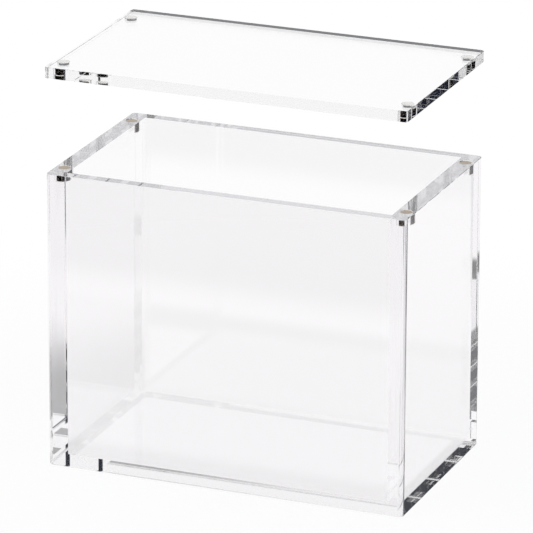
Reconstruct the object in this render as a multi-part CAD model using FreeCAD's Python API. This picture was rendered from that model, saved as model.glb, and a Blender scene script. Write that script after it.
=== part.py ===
import FreeCAD, Part
import os

# Clear acrylic display case whose lift-off lid is held shut by magnets in its corners.
# Five sheets are bonded edge to edge into an open box: two thick side walls over the full depth and height,
# a base between them, and a front and a back wall that stand on the base between the side walls.
# The lid is one sheet of the same outline, drawn lifted clear of the rim as it is when it is taken off.
# Each magnet is glued into a blind pocket, with its free face a hair below the face of the sheet.
# Millimetres, +Z up, front towards -Y, origin at the middle of the underside.

# Box
case_width = 150.0
case_depth = 86.5
wall_height = 121.5
side_wall_thickness = 7.3
face_wall_thickness = 4.6
base_thickness = 4.5
upright_edge_bevel = 1.2
foot_edge_bevel = 0.6
rim_edge_bevel = 0.2

# Lid
lid_thickness = 4.5
lid_lift = 39.0
lid_corner_round = 1.0
lid_edge_bevel = 0.2

# Magnets, their glue and their pockets
magnet_diameter = 5.0
case_magnet_height = 4.0
lid_magnet_height = 3.0
magnet_edge_round = 0.2
magnet_end_inset = 10.2
glue_thickness = 0.2
pocket_clearance = 0.05
pocket_recess = 0.1

# A cut runs past the face that it opens by the first, and places closer than the second count as one
cut_overrun = 1.0
same_place = 0.001

# Worked out from the sizes above
inner_width = case_width - 2 * side_wall_thickness
face_wall_height = wall_height - base_thickness
lid_underside = wall_height + lid_lift
magnet_x = case_width / 2 - side_wall_thickness / 2
magnet_y = case_depth / 2 - magnet_end_inset
magnet_radius = magnet_diameter / 2
pocket_radius = magnet_radius + pocket_clearance
case_magnet_low = wall_height - pocket_recess - case_magnet_height
case_pocket_floor = case_magnet_low - glue_thickness
lid_magnet_low = lid_underside + pocket_recess
lid_magnet_high = lid_magnet_low + lid_magnet_height
lid_pocket_ceiling = lid_magnet_high + glue_thickness
left_and_right = {"left": -1, "right": 1}
front_and_back = {"front": -1, "back": 1}


def near(value, place):
    return abs(value - place) < same_place


def sheet(low, size_x, size_y, size_z):
    """A flat sheet with its lowest corner at low."""
    return Part.makeBox(size_x, size_y, size_z, FreeCAD.Vector(*low))


def disc(radius, x, y, z_low, z_high):
    """An upright round disc."""
    return Part.makeCylinder(radius, z_high - z_low, FreeCAD.Vector(x, y, z_low))


def edges_where(solid, wanted):
    """The edges of the solid whose middles are wanted."""
    return [edge for edge in solid.Edges if wanted(edge.CenterOfMass)]


def magnet_places():
    """Each magnet's corner and the place of its axis."""
    for end, end_sign in front_and_back.items():
        for side, side_sign in left_and_right.items():
            yield end + "_" + side, side_sign * magnet_x, end_sign * magnet_y


def side_panel(side_sign):
    """A thick side wall, bevelled on its outer edges, with a magnet pocket near each end of its top."""
    low_x = min(side_sign * case_width / 2, side_sign * inner_width / 2)
    panel = sheet((low_x, -case_depth / 2, 0), side_wall_thickness, case_depth, wall_height)

    def outer_edges(height):
        def on_outside(middle):
            return near(middle.z, height) and not near(abs(middle.x), inner_width / 2)

        return edges_where(panel, on_outside)

    panel = panel.makeChamfer(upright_edge_bevel, outer_edges(wall_height / 2))
    panel = panel.makeChamfer(foot_edge_bevel, outer_edges(0))
    panel = panel.makeChamfer(rim_edge_bevel, outer_edges(wall_height))
    for corner, x, y in magnet_places():
        if x * side_sign > 0:
            panel = panel.cut(disc(pocket_radius, x, y, case_pocket_floor, wall_height + cut_overrun))
    return panel


def face_panel(end_sign):
    """The front or back wall, bevelled on its outer top edge."""
    low_y = min(end_sign * case_depth / 2, end_sign * (case_depth / 2 - face_wall_thickness))
    low = (-inner_width / 2, low_y, base_thickness)
    panel = sheet(low, inner_width, face_wall_thickness, face_wall_height)

    def on_outer_rim(middle):
        return near(abs(middle.y), case_depth / 2) and near(middle.z, wall_height)

    return panel.makeChamfer(rim_edge_bevel, edges_where(panel, on_outer_rim))


def base_panel():
    """The floor of the case, bevelled on the lower edges that show at the front and the back."""
    panel = sheet((-inner_width / 2, -case_depth / 2, 0), inner_width, case_depth, base_thickness)

    def on_outer_foot(middle):
        return near(abs(middle.y), case_depth / 2) and near(middle.z, 0)

    return panel.makeChamfer(foot_edge_bevel, edges_where(panel, on_outer_foot))


def lid_panel():
    """The lid sheet, bevelled all round, with a magnet pocket near each corner of its underside."""
    panel = sheet((-case_width / 2, -case_depth / 2, lid_underside), case_width, case_depth, lid_thickness)
    half_way_up = lid_underside + lid_thickness / 2
    upright_edges = edges_where(panel, lambda middle: near(middle.z, half_way_up))
    panel = panel.makeFillet(lid_corner_round, upright_edges)
    face_edges = edges_where(panel, lambda middle: not near(middle.z, half_way_up))
    panel = panel.makeChamfer(lid_edge_bevel, face_edges)
    for corner, x, y in magnet_places():
        panel = panel.cut(disc(pocket_radius, x, y, lid_underside - cut_overrun, lid_pocket_ceiling))
    return panel


def magnet(x, y, z_low, z_high):
    """A plated disc magnet with softened edges."""
    plain = disc(magnet_radius, x, y, z_low, z_high)
    half_way_up = (z_low + z_high) / 2
    rims = edges_where(plain, lambda middle: not near(middle.z, half_way_up))
    return plain.makeFillet(magnet_edge_round, rims)


def glue_spots(z_low, z_high):
    """The thin spots of glue under one set of magnets."""
    return Part.makeCompound([disc(magnet_radius, x, y, z_low, z_high) for corner, x, y in magnet_places()])


def all_parts():
    """Every piece by its name."""
    parts = {"base_panel": base_panel(), "lid_panel": lid_panel()}
    for side, side_sign in left_and_right.items():
        parts[side + "_panel"] = side_panel(side_sign)
    for end, end_sign in front_and_back.items():
        parts[end + "_panel"] = face_panel(end_sign)
    for corner, x, y in magnet_places():
        parts["case_magnet_" + corner] = magnet(x, y, case_magnet_low, case_magnet_low + case_magnet_height)
        parts["lid_magnet_" + corner] = magnet(x, y, lid_magnet_low, lid_magnet_high)
    parts["case_magnet_glue"] = glue_spots(case_pocket_floor, case_magnet_low)
    parts["lid_magnet_glue"] = glue_spots(lid_magnet_high, lid_pocket_ceiling)
    return parts


os.makedirs("parts", exist_ok=True)
for part_name, shape in all_parts().items():
    shape.exportStep("parts/" + part_name + ".step")
    print(part_name, "solids", len(shape.Solids), "valid", shape.isValid(), "volume %.1f mm3" % shape.Volume)
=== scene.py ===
import math

import bmesh
import bpy
from mathutils import Matrix, Vector


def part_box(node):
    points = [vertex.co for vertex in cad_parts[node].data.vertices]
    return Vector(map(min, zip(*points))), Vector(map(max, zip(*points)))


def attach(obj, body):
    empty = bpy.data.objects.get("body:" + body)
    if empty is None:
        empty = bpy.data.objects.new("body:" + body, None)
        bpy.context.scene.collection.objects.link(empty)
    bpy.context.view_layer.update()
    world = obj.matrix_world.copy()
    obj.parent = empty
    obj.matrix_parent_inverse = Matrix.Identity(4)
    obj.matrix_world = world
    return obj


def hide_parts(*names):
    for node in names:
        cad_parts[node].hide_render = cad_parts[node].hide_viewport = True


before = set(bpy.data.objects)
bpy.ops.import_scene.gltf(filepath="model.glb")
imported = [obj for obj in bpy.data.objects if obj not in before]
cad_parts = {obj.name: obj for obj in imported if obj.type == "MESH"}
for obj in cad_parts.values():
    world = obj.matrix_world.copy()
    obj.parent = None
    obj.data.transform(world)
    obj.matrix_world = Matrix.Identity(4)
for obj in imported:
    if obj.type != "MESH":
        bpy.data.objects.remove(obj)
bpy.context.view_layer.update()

# Looks of a clear acrylic display case with a lid held by corner magnets.
# The sheets are remade from the frame's boxes, with rounded or finely bevelled edges, magnet pockets
# and bonded faces that let light pass straight from one sheet into the next.
# Metres, +Z up, front towards -Y.

# Edges of the sheets
UPRIGHT_ROUND = 0.0020
FOOT_ROUND = 0.0007
ROUND_STEPS = 10
RIM_BEVEL = 0.00012
LID_CORNER_ROUND = 0.0012
LID_CORNER_STEPS = 8
LID_EDGE_BEVEL = 0.00012

# Magnet pockets
POCKET_CLEARANCE = 0.00005
POCKET_SIDES = 96
CUT_OVERRUN = 0.001

# Places closer than this count as one
SAME_PLACE = 0.00002

# How much of a face's normal lies along an axis when the face looks that way, and when it is flat
FACING = 0.9
FACING_CLOSELY = 0.99
FLAT_LIMIT = 0.9999

# Largest angle in degrees between two faces of a round that is shaded smoothly
SHARP_ANGLE = 12.0

# Clear acrylic
ACRYLIC_IOR = 1.49
ACRYLIC_TINT = (0.99, 0.985, 0.99, 1.0)
ACRYLIC_SHADOW_TINT = (0.94, 0.945, 0.95, 1.0)
SMUDGE_START = 0.45
SMUDGE_FULL = 0.75

# Cement in the seams
CEMENT_COLOUR = (0.9, 0.91, 0.92, 1.0)
BUBBLE_CORE = 0.10
BUBBLE_RIM = 0.16
BUBBLE_HAZE = 0.06
CEMENT_HAZE = 0.001

# Magnets and their glue
PLATING_BRIGHT = (0.42, 0.345, 0.255, 1.0)
PLATING_DULL = (0.32, 0.26, 0.19, 1.0)
# Painted shade: the colour that darkens the magnets' sides against their ends
PLATING_SIDE_SHADE = (0.12, 0.10, 0.08, 1.0)
PLATING_SMOOTHEST = 0.12
PLATING_ROUGHEST = 0.26
MARKS_START = 0.35
MARKS_FULL = 0.7
SIDE_LIMIT = 0.3
END_LIMIT = 0.9
GLUE_PALE = (0.90, 0.89, 0.86, 1.0)
GLUE_DULL = (0.74, 0.73, 0.70, 1.0)

# Camera, as fitted to the corners of the case and its lid in the 533 pixel photograph
PHOTO_PIXELS = 533
FOCAL_PIXELS = 5142
SENSOR_WIDTH = 36.0
CAMERA_AZIMUTH = 21.88
CAMERA_ELEVATION = 19.15
CAMERA_ROLL = 0.20
CAMERA_DISTANCE = 2.0302
CAMERA_AIM = Vector((0.0, 0.0, 0.075))
CAMERA_OFFSET_RIGHT = 0.00062
CAMERA_OFFSET_UP = 0.00411
CAMERA_CLIP_END = 50.0

# Table, with the distances from the origin over which it fades to white
FLOOR_SIZE = 12.0
FLOOR_DROP = 0.0002
FLOOR_PAINT = (0.92, 0.92, 0.92, 1.0)
FADE_START = 0.12
FADE_END = 0.30
FADE_LEAST = 0.86

# Table as reflections show it: painted shade under the case, near it, far off, and past its front and right
# edges
TABLE_UNDER_SHADE = (0.63, 0.625, 0.65, 1.0)
TABLE_NEAR = (0.945, 0.93, 0.945, 1.0)
UNDER_OVERHANG = 1.05
FAR_START = 0.40
FAR_END = 0.50
TABLE_FRONT = -0.24
TABLE_SIDE = 0.21
TABLE_SOFTNESS = 0.04

# Painted contact shade in reflections: a soft patch behind the case and strips in front of it and beside it
SHADE_PLACE = (-0.085, 0.06, 0.0)
SHADE_CORE = 0.03
SHADE_REACH = 0.12
SHADE_DEPTH = 0.55
SHADE_EDGE = 0.002
FRONT_SHADE_DEPTH = 0.9
FRONT_SHADE_END = -0.065
FRONT_SHADE_FADE = 0.01
SIDE_SHADE_REACH = 0.0055
SIDE_SHADE_EDGE = 0.0005
LEFT_SHADE_DEPTH = 0.95
RIGHT_SHADE_DEPTH = 0.75

# Room, with the parts of the looking direction between which one zone gives way to the next
WORLD_STRENGTH = 0.55
DARK_ROOM = (0.012, 0.015, 0.026, 1.0)
BACKDROP_LOW = (0.97, 0.965, 0.975, 1.0)
BACKDROP_HIGH = (0.30, 0.30, 0.32, 1.0)
BACKDROP_DIM_START = 0.45
BACKDROP_DIM_END = 0.70
OVERHEAD_START = 0.75
OVERHEAD_END = 0.85
FRONT_BLEND = 0.10
DARK_RIGHT_START = 0.40
DARK_RIGHT_END = 0.55
WHITE = (1.0, 1.0, 1.0, 1.0)
BLACK = (0.0, 0.0, 0.0, 1.0)

# Lamps
LAMP_AIM = Vector((0.0, 0.0, 0.08))
KEY_LAMP = {"place": (-0.7, -0.5, 1.1), "size": 0.7, "power": 7.0}
FILL_LAMP = {"place": (0.8, -0.2, 0.8), "size": 0.6, "power": 3.0}

MOST_BOUNCES = 64


# Node helpers
def set_input(tree, socket, value):
    """Links the value to the socket if it is a socket too, and otherwise writes it there."""
    if isinstance(value, bpy.types.NodeSocket):
        tree.links.new(value, socket)
    else:
        socket.default_value = value


def add(tree, kind, inputs=None, **settings):
    """A new node with its settings and its inputs, which are values or sockets."""
    node = tree.nodes.new(kind)
    for key, value in settings.items():
        setattr(node, key, value)
    for key, value in (inputs or {}).items():
        set_input(tree, node.inputs[key], value)
    return node


def math_node(tree, operation, first, second=0.0):
    return add(tree, "ShaderNodeMath", {0: first, 1: second}, operation=operation).outputs[0]


def times(tree, first, second):
    return math_node(tree, "MULTIPLY", first, second)


def larger(tree, first, second):
    return math_node(tree, "MAXIMUM", first, second)


def smooth_range(tree, value, low, high, to_low=0.0, to_high=1.0):
    """The value eased from to_low at low to to_high at high."""
    inputs = {"Value": value, "From Min": low, "From Max": high, "To Min": to_low, "To Max": to_high}
    return add(tree, "ShaderNodeMapRange", inputs, interpolation_type="SMOOTHSTEP").outputs[0]


def mix_colour(tree, factor, first, second):
    node = add(tree, "ShaderNodeMix", data_type="RGBA")
    set_input(tree, node.inputs[0], factor)
    set_input(tree, node.inputs[6], first)
    set_input(tree, node.inputs[7], second)
    return node.outputs[2]


def mix_shader(tree, factor, first, second):
    inputs = {0: factor, 1: first.outputs[0], 2: second.outputs[0]}
    return add(tree, "ShaderNodeMixShader", inputs).outputs[0]


def new_material(name):
    material = bpy.data.materials.new(name)
    material.use_nodes = True
    material.node_tree.nodes.clear()
    return material, material.node_tree


def finish_material(tree, surface):
    add(tree, "ShaderNodeOutputMaterial", {"Surface": surface})


def unlit_paths(tree):
    """1 for rays from lamps and for soft indirect light, which pass through clear sheets."""
    path = add(tree, "ShaderNodeLightPath")
    return larger(tree, path.outputs["Is Shadow Ray"], path.outputs["Is Diffuse Ray"])


def seen_paths(tree):
    """1 for rays that show the background: straight from the camera, mirrored or through clear sheets."""
    path = add(tree, "ShaderNodeLightPath")
    not_direct = larger(tree, path.outputs["Is Glossy Ray"], path.outputs["Is Transmission Ray"])
    return larger(tree, path.outputs["Is Camera Ray"], not_direct)


def mirrored(tree, count):
    """1 for a path that has met at least so many mirroring faces."""
    path = add(tree, "ShaderNodeLightPath")
    return math_node(tree, "GREATER_THAN", path.outputs["Glossy Depth"], count - 0.5)


# Materials
def clear_acrylic(name, wave_scale, wave_depth, smudge_scale, smoothest, roughest):
    """Polished clear acrylic, faintly uneven, with smudges that dull its gloss a little."""
    material, tree = new_material(name)
    place = add(tree, "ShaderNodeTexCoord").outputs["Object"]
    smudges = add(tree, "ShaderNodeTexNoise", {"Vector": place, "Scale": smudge_scale, "Detail": 6.0})
    roughness = smooth_range(tree, smudges.outputs[0], SMUDGE_START, SMUDGE_FULL, smoothest, roughest)
    waves = add(tree, "ShaderNodeTexNoise", {"Vector": place, "Scale": wave_scale, "Detail": 2.0})
    bump = add(tree, "ShaderNodeBump", {"Height": waves.outputs[0], "Distance": wave_depth})
    sheet = add(tree, "ShaderNodeBsdfPrincipled", {
        "Base Color": ACRYLIC_TINT, "Roughness": roughness, "IOR": ACRYLIC_IOR,
        "Transmission Weight": 1.0, "Normal": bump.outputs[0]})
    open_to_light = add(tree, "ShaderNodeBsdfTransparent", {"Color": ACRYLIC_SHADOW_TINT})
    finish_material(tree, mix_shader(tree, unlit_paths(tree), sheet, open_to_light))
    return material


def bonded_seam():
    """The cement between two sheets, clear but for a few fine bubbles."""
    material, tree = new_material("bonded_seam")
    place = add(tree, "ShaderNodeTexCoord").outputs["Object"]
    bubbles = add(tree, "ShaderNodeTexVoronoi", {"Vector": place, "Scale": 700.0})
    spots = smooth_range(tree, bubbles.outputs["Distance"], BUBBLE_CORE, BUBBLE_RIM, BUBBLE_HAZE, CEMENT_HAZE)
    clear = add(tree, "ShaderNodeBsdfTransparent")
    haze = add(tree, "ShaderNodeBsdfPrincipled", {"Base Color": CEMENT_COLOUR, "Roughness": 0.4})
    finish_material(tree, mix_shader(tree, spots, clear, haze))
    return material


def magnet_plating():
    """Warm nickel with a faint grain and handling marks, and painted shade that makes the sides darker than
    the ends.
    """
    material, tree = new_material("magnet_plating")
    coordinates = add(tree, "ShaderNodeTexCoord")
    place = coordinates.outputs["Object"]
    marks = add(tree, "ShaderNodeTexNoise", {"Vector": place, "Scale": 900.0, "Detail": 8.0})
    roughness = smooth_range(
        tree, marks.outputs[0], MARKS_START, MARKS_FULL, PLATING_SMOOTHEST, PLATING_ROUGHEST)
    plated = mix_colour(tree, marks.outputs[0], PLATING_BRIGHT, PLATING_DULL)
    normal = add(tree, "ShaderNodeSeparateXYZ", {0: coordinates.outputs["Normal"]})
    upright = math_node(tree, "ABSOLUTE", normal.outputs["Z"])
    # Painted shade: faces turned away from upright take the dark side colour
    colour = mix_colour(tree, smooth_range(tree, upright, SIDE_LIMIT, END_LIMIT), PLATING_SIDE_SHADE, plated)
    grain = add(tree, "ShaderNodeTexNoise", {"Vector": place, "Scale": 6000.0, "Detail": 3.0})
    bump = add(tree, "ShaderNodeBump", {"Height": grain.outputs[0], "Distance": 0.000004})
    metal = add(tree, "ShaderNodeBsdfPrincipled", {
        "Base Color": colour, "Metallic": 1.0, "Roughness": roughness, "Normal": bump.outputs[0]})
    finish_material(tree, metal.outputs[0])
    return material


def magnet_glue():
    """Clouded pale glue."""
    material, tree = new_material("magnet_glue")
    place = add(tree, "ShaderNodeTexCoord").outputs["Object"]
    clouds = add(tree, "ShaderNodeTexNoise", {"Vector": place, "Scale": 1100.0, "Detail": 5.0})
    colour = mix_colour(tree, clouds.outputs[0], GLUE_PALE, GLUE_DULL)
    bump = add(tree, "ShaderNodeBump", {"Height": clouds.outputs[0], "Distance": 0.00002})
    paste = add(tree, "ShaderNodeBsdfPrincipled", {
        "Base Color": colour, "Roughness": 0.35, "Normal": bump.outputs[0]})
    finish_material(tree, paste.outputs[0])
    return material


SHEET_FACE = clear_acrylic("acrylic_face", wave_scale=30.0, wave_depth=0.000002,
                           smudge_scale=60.0, smoothest=0.0, roughest=0.02)
SHEET_EDGE = clear_acrylic("acrylic_edge", wave_scale=400.0, wave_depth=0.0000004,
                           smudge_scale=200.0, smoothest=0.0, roughest=0.03)
BONDED = bonded_seam()
PLATING = magnet_plating()
GLUE = magnet_glue()


# Mesh helpers
def near(value, place):
    return abs(value - place) < SAME_PLACE


def box_mesh(low, high):
    bm = bmesh.new()
    size = high - low
    place = Matrix.Translation((low + high) / 2) @ Matrix.Diagonal((*size, 1.0))
    bmesh.ops.create_cube(bm, size=1.0, matrix=place)
    return bm


def bevel(bm, wanted, width, steps=1):
    """Bevels the edges whose middles are wanted, flat in one step or round in more."""
    edges = [edge for edge in bm.edges if wanted((edge.verts[0].co + edge.verts[1].co) / 2)]
    bmesh.ops.bevel(bm, geom=edges, offset=width, segments=steps, profile=0.5, affect="EDGES")


def split_faces(bm, wanted, point, normal):
    """Cuts the wanted faces, and no others, along a plane."""
    faces = [face for face in bm.faces if wanted(face)]
    edges = {edge for face in faces for edge in face.edges}
    verts = {vert for face in faces for vert in face.verts}
    bmesh.ops.bisect_plane(bm, geom=[*verts, *edges, *faces], plane_co=point, plane_no=normal)


def pocket_cutter(magnet_name, low, high):
    """An upright cylinder round the axis of a magnet, a little wider than it."""
    magnet_low, magnet_high = magnets[magnet_name]
    middle = (magnet_low + magnet_high) / 2
    radius = (magnet_high.x - magnet_low.x) / 2 + POCKET_CLEARANCE
    place = Matrix.Translation((middle.x, middle.y, (low + high) / 2))
    bm = bmesh.new()
    bmesh.ops.create_cone(bm, cap_ends=True, segments=POCKET_SIDES, radius1=radius, radius2=radius,
                          depth=high - low, matrix=place)
    return bm


def piece_from(bm, name):
    mesh = bpy.data.meshes.new(name)
    bm.normal_update()
    bm.to_mesh(mesh)
    bm.free()
    piece = bpy.data.objects.new(name, mesh)
    bpy.context.scene.collection.objects.link(piece)
    return piece


def cut_pockets(piece, cutters):
    """Takes the cutters' shapes out of the piece."""
    helpers = [piece_from(cutter, "cutter") for cutter in cutters]
    for helper in helpers:
        cut = piece.modifiers.new("pocket", "BOOLEAN")
        cut.operation = "DIFFERENCE"
        cut.solver = "EXACT"
        cut.object = helper
    evaluated = piece.evaluated_get(bpy.context.evaluated_depsgraph_get())
    mesh = bpy.data.meshes.new_from_object(evaluated)
    piece.modifiers.clear()
    piece.data = mesh
    for helper in helpers:
        bpy.data.objects.remove(helper)


def smooth_rounds(mesh):
    """Shades the round edges and pockets smoothly and keeps the flats beside them exact."""
    bm = bmesh.new()
    bm.from_mesh(mesh)
    bm.normal_update()
    curved = {face for face in bm.faces if max(abs(part) for part in face.normal) < FLAT_LIMIT}
    for edge in bm.edges:
        gentle = edge.calc_face_angle(math.pi) < math.radians(SHARP_ANGLE)
        edge.smooth = gentle and all(face in curved for face in edge.link_faces)
    bm.to_mesh(mesh)
    bm.free()


def finish_sheet(piece, node, body, is_bonded, is_edge):
    """Gives each face its finish, and stands the piece in for its node."""
    mesh = piece.data
    mesh.name = piece.name
    mesh.materials.clear()
    for material in (SHEET_FACE, SHEET_EDGE, BONDED):
        mesh.materials.append(material)
    for face in mesh.polygons:
        face.use_smooth = True
        face.material_index = 2 if is_bonded(face) else 1 if is_edge(face) else 0
    smooth_rounds(mesh)
    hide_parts(node)
    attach(piece, body)


# Places taken from the frame
case_low, case_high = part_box("left_panel")
right_low, right_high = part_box("right_panel")
base_low, base_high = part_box("base_panel")
front_low, front_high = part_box("front_panel")
back_low, back_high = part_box("back_panel")
lid_low, lid_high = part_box("lid_panel")
inner_front = front_high.y
inner_back = back_low.y
floor_level = base_high.z
rim_level = case_high.z

magnets = {name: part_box(name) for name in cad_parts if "magnet" in name and "glue" not in name}
case_pocket_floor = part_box("case_magnet_glue")[0].z
lid_pocket_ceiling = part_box("lid_magnet_glue")[1].z


def at_the_walls(y):
    """Whether a place along the depth lies within the front or the back wall."""
    return y < inner_front or y > inner_back


# Pieces
def side_wall(side, low, high, inner_x):
    """A thick side wall, rounded on its outer edges, with a fine bevel and two magnet pockets at the rim."""
    bm = box_mesh(low, high)

    def outer_edge_at(height):
        return lambda middle: near(middle.z, height) and not near(middle.x, inner_x)

    bevel(bm, outer_edge_at((low.z + high.z) / 2), UPRIGHT_ROUND, ROUND_STEPS)
    bevel(bm, outer_edge_at(low.z), FOOT_ROUND, ROUND_STEPS)
    bevel(bm, outer_edge_at(high.z), RIM_BEVEL)

    def on_inner_face(face):
        return near(face.calc_center_median().x, inner_x)

    for y in (inner_front, inner_back):
        split_faces(bm, on_inner_face, Vector((0, y, 0)), Vector((0, 1, 0)))
    split_faces(bm, on_inner_face, Vector((0, 0, floor_level)), Vector((0, 0, 1)))
    piece = piece_from(bm, side + "_wall")
    own_magnets = [name for name in magnets if name.startswith("case") and name.endswith(side)]
    pocket_top = rim_level + CUT_OVERRUN
    cut_pockets(piece, [pocket_cutter(name, case_pocket_floor, pocket_top) for name in own_magnets])

    def is_bonded(face):
        if near(face.center.x, inner_x):
            return at_the_walls(face.center.y) or face.center.z < floor_level
        return near(face.center.z, case_pocket_floor) and face.normal.z > FACING

    def is_edge(face):
        return abs(face.normal.x) < FACING

    finish_sheet(piece, side + "_panel", "case", is_bonded, is_edge)


def face_wall(end, low, high, outer_y):
    """The front or back wall, finely bevelled on its outer top edge."""
    bm = box_mesh(low, high)
    bevel(bm, lambda middle: near(middle.y, outer_y) and near(middle.z, high.z), RIM_BEVEL)
    piece = piece_from(bm, end + "_wall")
    finish_sheet(
        piece, end + "_panel", "case",
        is_bonded=lambda face: abs(face.normal.x) > FACING or face.normal.z < -FACING,
        is_edge=lambda face: abs(face.normal.y) < FACING_CLOSELY)


def base_sheet():
    """The floor of the case, rounded on its lower front and back edges."""
    bm = box_mesh(base_low, base_high)

    def on_foot(middle):
        return near(middle.z, base_low.z) and (near(middle.y, base_low.y) or near(middle.y, base_high.y))

    bevel(bm, on_foot, FOOT_ROUND, ROUND_STEPS)
    for y in (inner_front, inner_back):
        split_faces(bm, lambda face: face.normal.z > FACING, Vector((0, y, 0)), Vector((0, 1, 0)))
    piece = piece_from(bm, "base_sheet")

    def is_bonded(face):
        return abs(face.normal.x) > FACING or (face.normal.z > FACING and at_the_walls(face.center.y))

    def is_edge(face):
        return abs(face.normal.z) < FACING_CLOSELY

    finish_sheet(piece, "base_panel", "case", is_bonded, is_edge)


def lid_sheet():
    """The lid, with rounded corners, finely bevelled edges and four magnet pockets in its underside."""
    bm = box_mesh(lid_low, lid_high)
    half_way_up = (lid_low.z + lid_high.z) / 2
    bevel(bm, lambda middle: near(middle.z, half_way_up), LID_CORNER_ROUND, LID_CORNER_STEPS)
    bevel(bm, lambda middle: not near(middle.z, half_way_up), LID_EDGE_BEVEL)
    piece = piece_from(bm, "lid_sheet")
    own_magnets = [name for name in magnets if name.startswith("lid")]
    pocket_mouth = lid_low.z - CUT_OVERRUN
    cut_pockets(piece, [pocket_cutter(name, pocket_mouth, lid_pocket_ceiling) for name in own_magnets])
    finish_sheet(
        piece, "lid_panel", "lid",
        is_bonded=lambda face: near(face.center.z, lid_pocket_ceiling),
        is_edge=lambda face: abs(face.normal.z) < FACING_CLOSELY)


def dress(node, material):
    """Gives a CAD piece its finish."""
    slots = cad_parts[node].data.materials
    slots.clear()
    slots.append(material)


# Studio
def studio_world():
    """White straight on. In reflections the backdrop dims higher up, and the room in front and on the right
    is dark to paths that were mirrored at least twice."""
    world = bpy.data.worlds.new("studio")
    bpy.context.scene.world = world
    world.use_nodes = True
    tree = world.node_tree
    tree.nodes.clear()
    direction = add(tree, "ShaderNodeTexCoord").outputs["Generated"]
    axes = add(tree, "ShaderNodeSeparateXYZ", {0: direction})
    height = axes.outputs["Z"]
    dimming = smooth_range(tree, height, BACKDROP_DIM_START, BACKDROP_DIM_END)
    backdrop = mix_colour(tree, dimming, BACKDROP_LOW, BACKDROP_HIGH)
    in_front = smooth_range(tree, axes.outputs["Y"], FRONT_BLEND, -FRONT_BLEND)
    to_right = smooth_range(tree, axes.outputs["X"], DARK_RIGHT_START, DARK_RIGHT_END)
    dark_part = times(tree, larger(tree, in_front, to_right), mirrored(tree, 2))
    around = mix_colour(tree, dark_part, backdrop, DARK_ROOM)
    overhead = smooth_range(tree, height, OVERHEAD_START, OVERHEAD_END)
    studio = mix_colour(tree, overhead, around, WHITE)
    seen = mix_colour(tree, mirrored(tree, 1), WHITE, studio)
    light = (WORLD_STRENGTH, WORLD_STRENGTH, WORLD_STRENGTH, 1.0)
    colour = mix_colour(tree, seen_paths(tree), light, seen)
    background = add(tree, "ShaderNodeBackground", {"Color": colour})
    add(tree, "ShaderNodeOutputWorld", {"Surface": background.outputs[0]})


def back_shade(tree, place, y):
    """Painted shade: how dark the table is in a soft patch behind the case."""
    from_patch = add(tree, "ShaderNodeVectorMath", {0: place, 1: SHADE_PLACE}, operation="DISTANCE")
    patch = smooth_range(tree, from_patch.outputs["Value"], SHADE_CORE, SHADE_REACH, SHADE_DEPTH, 0.0)
    behind = smooth_range(tree, y, back_high.y, back_high.y + SHADE_EDGE)
    return times(tree, patch, behind)


def strip_shade(tree, x, y):
    """Painted shade: how dark the table is in the strips in front of the case and beside it."""
    before = smooth_range(tree, y, front_low.y, front_low.y - SHADE_EDGE, 0.0, FRONT_SHADE_DEPTH)
    close_before = smooth_range(tree, y, FRONT_SHADE_END - FRONT_SHADE_FADE, FRONT_SHADE_END)
    front_shade = times(tree, before, close_before)
    from_middle_x = math_node(tree, "ABSOLUTE", x)
    from_middle_y = math_node(tree, "ABSOLUTE", y)
    side = right_high.x
    side_end = side + SIDE_SHADE_REACH
    depth = smooth_range(tree, x, case_low.x, side, LEFT_SHADE_DEPTH, RIGHT_SHADE_DEPTH)
    beside = smooth_range(tree, from_middle_x, side, side + SIDE_SHADE_EDGE, 0.0, depth)
    close_beside = smooth_range(tree, from_middle_x, side_end + SHADE_EDGE, side_end)
    within_depth = smooth_range(tree, from_middle_y, back_high.y + SHADE_EDGE, back_high.y)
    side_shade = times(tree, times(tree, beside, close_beside), within_depth)
    return larger(tree, front_shade, side_shade)


def mirrored_table(tree, x, y, reach):
    """The table's colour in reflections: painted shade under the case, and white far off."""
    across = math_node(tree, "DIVIDE", math_node(tree, "ABSOLUTE", x), right_high.x)
    along = math_node(tree, "DIVIDE", math_node(tree, "ABSOLUTE", y), back_high.y)
    outside = smooth_range(tree, larger(tree, across, along), 1.0, UNDER_OVERHANG)
    # Painted shade under the case, seen only in reflections
    table = mix_colour(tree, outside, TABLE_UNDER_SHADE, TABLE_NEAR)
    return mix_colour(tree, smooth_range(tree, reach, FAR_START, FAR_END), table, WHITE)


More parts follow.
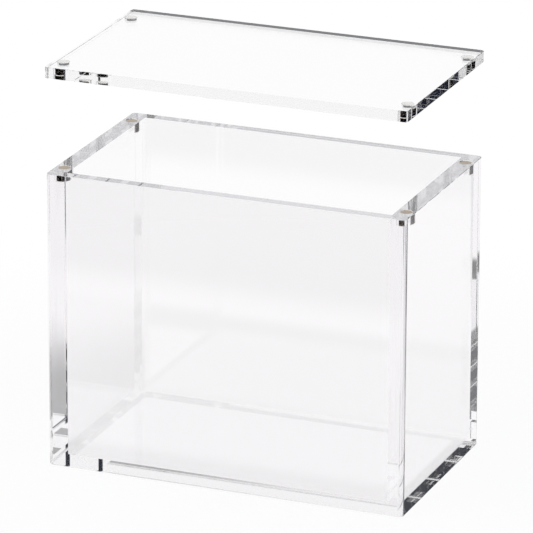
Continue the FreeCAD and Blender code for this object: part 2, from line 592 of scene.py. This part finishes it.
def studio_floor():
    """A wide pale table that fades to white and keeps the object's soft shadow, with painted shade near the
    case that only reflections show.
    """
    bm = bmesh.new()
    bmesh.ops.create_grid(bm, x_segments=1, y_segments=1, size=FLOOR_SIZE / 2,
                          matrix=Matrix.Translation((0, 0, case_low.z - FLOOR_DROP)))
    floor = piece_from(bm, "floor")
    material, tree = new_material("floor")
    place = add(tree, "ShaderNodeNewGeometry").outputs["Position"]
    axes = add(tree, "ShaderNodeSeparateXYZ", {0: place})
    x = axes.outputs["X"]
    y = axes.outputs["Y"]
    reach = add(tree, "ShaderNodeVectorMath", {0: place}, operation="LENGTH").outputs["Value"]
    past_front = smooth_range(tree, y, TABLE_FRONT, TABLE_FRONT - TABLE_SOFTNESS)
    past_side = smooth_range(tree, x, TABLE_SIDE, TABLE_SIDE + TABLE_SOFTNESS)
    in_mirror = mirrored(tree, 1)
    dark_part = times(tree, larger(tree, past_front, past_side), in_mirror)
    strips = strip_shade(tree, x, y)
    # Painted shade, only in reflections: the patch and the strips darken the glow, and the strips darken the
    # paint too
    shade = times(tree, larger(tree, back_shade(tree, place, y), strips), in_mirror)
    plain_colour = mix_colour(tree, in_mirror, WHITE, mirrored_table(tree, x, y, reach))
    shaded_glow_colour = mix_colour(tree, shade, plain_colour, BLACK)
    glow_colour = mix_colour(tree, dark_part, shaded_glow_colour, DARK_ROOM)
    strip_shaded_paint = mix_colour(tree, times(tree, strips, in_mirror), FLOOR_PAINT, BLACK)
    paint = mix_colour(tree, dark_part, strip_shaded_paint, DARK_ROOM)
    diffuse = add(tree, "ShaderNodeBsdfDiffuse", {"Color": paint})
    glow = add(tree, "ShaderNodeEmission", {"Color": glow_colour})
    fade = smooth_range(tree, reach, FADE_START, FADE_END, FADE_LEAST, 1.0)
    finish_material(tree, mix_shader(tree, times(tree, fade, seen_paths(tree)), diffuse, glow))
    floor.data.materials.append(material)


def area_lamp(name, place, size, power):
    """A square lamp that lights the case and is not itself mirrored or seen through the sheets."""
    lamp = bpy.data.lights.new(name, "AREA")
    lamp.size = size
    lamp.energy = power
    holder = bpy.data.objects.new(name, lamp)
    holder.location = place
    holder.visible_glossy = False
    holder.visible_transmission = False
    holder.rotation_euler = (LAMP_AIM - Vector(place)).to_track_quat("-Z", "Y").to_euler()
    bpy.context.scene.collection.objects.link(holder)


def photo_camera():
    """The camera that took the photograph, as fitted."""
    azimuth = math.radians(CAMERA_AZIMUTH)
    elevation = math.radians(CAMERA_ELEVATION)
    roll = math.radians(CAMERA_ROLL)
    back = Vector((math.sin(azimuth) * math.cos(elevation), -math.cos(azimuth) * math.cos(elevation),
                   math.sin(elevation)))
    level_right = Vector((math.cos(azimuth), math.sin(azimuth), 0.0))
    level_up = back.cross(level_right)
    right = math.cos(roll) * level_right + math.sin(roll) * level_up
    up = back.cross(right)
    place = CAMERA_AIM + CAMERA_OFFSET_RIGHT * right + CAMERA_OFFSET_UP * up + CAMERA_DISTANCE * back
    data = bpy.data.cameras.new("photo_camera")
    data.sensor_width = SENSOR_WIDTH
    data.lens = FOCAL_PIXELS * SENSOR_WIDTH / PHOTO_PIXELS
    data.clip_end = CAMERA_CLIP_END
    camera = bpy.data.objects.new("photo_camera", data)
    turn = Matrix((right, up, back)).transposed().to_4x4()
    camera.matrix_world = Matrix.Translation(place) @ turn
    bpy.context.scene.collection.objects.link(camera)
    bpy.context.scene.camera = camera


def render_settings():
    """Plain colours, and enough bounces for light to run the length of a sheet between its faces."""
    scene = bpy.context.scene
    scene.view_settings.view_transform = "Standard"
    scene.cycles.max_bounces = MOST_BOUNCES
    scene.cycles.glossy_bounces = MOST_BOUNCES
    scene.cycles.transmission_bounces = MOST_BOUNCES
    scene.cycles.transparent_max_bounces = MOST_BOUNCES
    scene.cycles.caustics_reflective = False
    scene.cycles.caustics_refractive = False


base_sheet()
side_wall("left", case_low, case_high, case_high.x)
side_wall("right", right_low, right_high, right_low.x)
face_wall("front", front_low, front_high, front_low.y)
face_wall("back", back_low, back_high, back_high.y)
lid_sheet()
for magnet_name in magnets:
    dress(magnet_name, PLATING)
for glue_name in ("case_magnet_glue", "lid_magnet_glue"):
    dress(glue_name, GLUE)

studio_world()
studio_floor()
area_lamp("key", **KEY_LAMP)
area_lamp("fill", **FILL_LAMP)
photo_camera()
render_settings()
